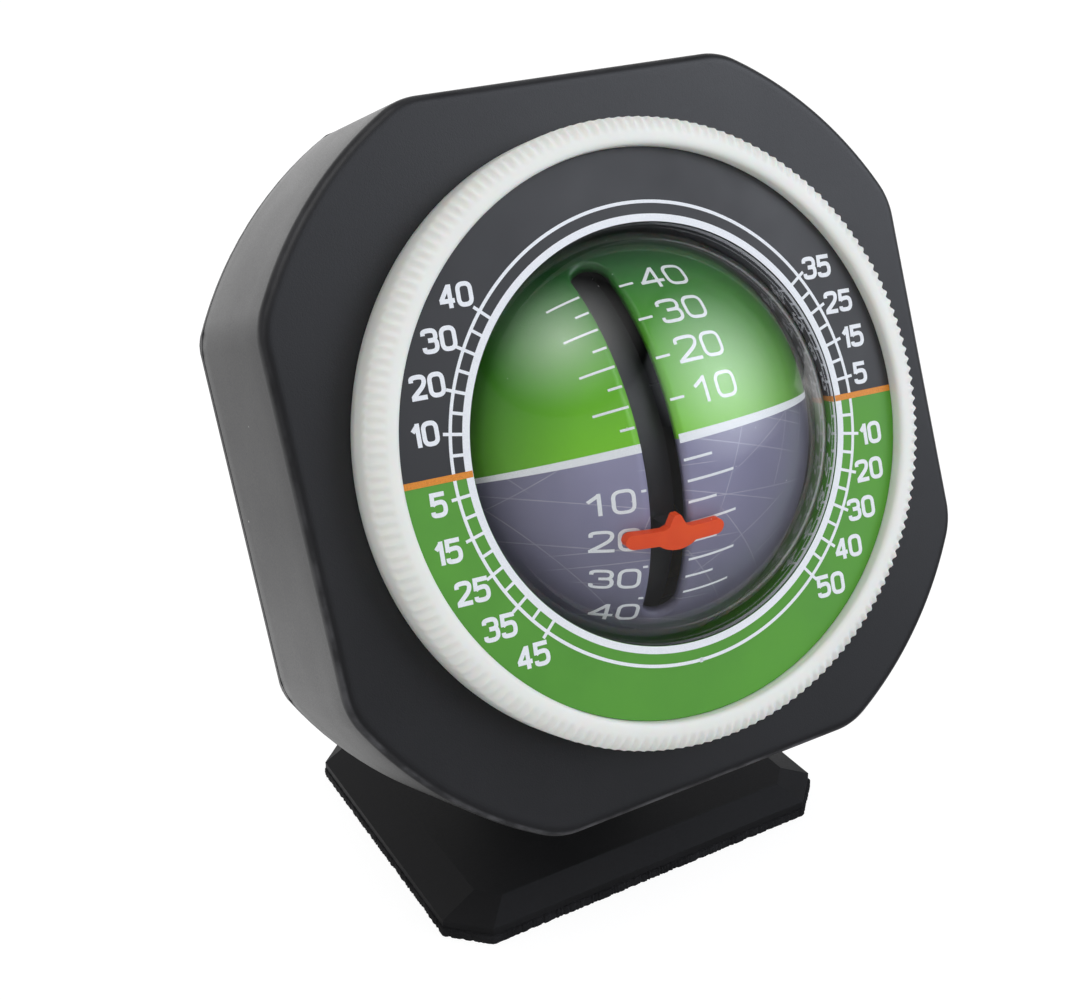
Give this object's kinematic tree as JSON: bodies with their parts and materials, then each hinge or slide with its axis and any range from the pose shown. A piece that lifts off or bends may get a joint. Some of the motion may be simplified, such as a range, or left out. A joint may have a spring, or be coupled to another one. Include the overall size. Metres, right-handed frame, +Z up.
{
  "type": "inclinometer",
  "caption": "Dashboard roll and pitch gauge: horizon ball under a clear dome, ribbed turning bezel with degree dial, square housing with cut corners on a tilting foot.",
  "frame": {"origin": "centre of the underside of the adhesive pad, where the foot is stuck down", "axes": "+Z up, +X to the right as a reader faces the dial, -Y the way the dial faces; the face leans back 21 degrees"},
  "size_m": [0.072, 0.0559, 0.0862],
  "materials": {
    "foam_pad": "matt closed-cell foam",
    "black_plastic": "satin moulded plastic",
    "steel": "zinc-plated steel",
    "nylon": "natural nylon",
    "bracket_plastic": "satin moulded plastic",
    "case_plastic": "fine satin moulded plastic",
    "cover_plastic": "satin moulded plastic",
    "cup_plastic": "matt black inside",
    "gasket_rubber": "matt rubber",
    "clear_dome": "clear glossy acrylic",
    "brass": "turned brass",
    "cream_plastic": "matt cream plastic",
    "dial_print": "printed satin plastic",
    "ball_print": "printed satin plastic",
    "inner_black": "matt moulded plastic",
    "orange_plastic": "bright moulded plastic"
  },
  "bodies": {
    "base": {"adhesive_pad": "foam_pad", "base_plate": "black_plastic", "hinge_bolt": "steel", "hinge_nut": "steel", "friction_washers": "nylon"},
    "head": {"tilt_bracket": "bracket_plastic", "bracket_screws": "steel", "front_case": "case_plastic", "rear_cover": "cover_plastic", "case_screws": "steel", "capsule_cup": "cup_plastic", "cup_screws": "steel", "dome_gasket": "gasket_rubber", "dome_lens": "clear_dome", "roll_bush": "brass", "bezel_spring": "steel"},
    "bezel": {"bezel_ring": "cream_plastic", "scale_ring": "dial_print"},
    "horizon": {"horizon_shell": "ball_print", "roll_carrier": "inner_black", "shell_screws": "steel", "roll_axle": "steel", "axle_clip": "steel", "roll_weight": "brass", "roll_weight_screws": "steel", "pitch_pin": "steel", "pin_clip": "steel"},
    "pitch": {"pitch_wheel": "inner_black", "pitch_bush": "brass", "pitch_weight": "brass", "pitch_weight_rivets": "steel", "pointer": "orange_plastic"}
  },
  "joints": [
    {"name": "head_tilt", "type": "hinge", "parent": "base", "child": "head", "pos_m": [0, 0.003, 0.0115], "axis": [1, 0, 0], "range_deg": [-40, 21]},
    {"name": "bezel_turn", "type": "hinge", "parent": "head", "child": "bezel", "pos_m": [0, -0.0232, 0.0548], "axis": [0, -0.9336, 0.3584], "continuous": true},
    {"name": "horizon_roll", "type": "hinge", "parent": "head", "child": "horizon", "pos_m": [0, -0.0078, 0.04889], "axis": [0, -0.9336, 0.3584], "continuous": true},
    {"name": "pitch_swing", "type": "hinge", "parent": "horizon", "child": "pitch", "pos_m": [-0.0043, -0.0078, 0.04889], "axis": [1, 0, 0], "range_deg": [-65, 23]}
  ]
}
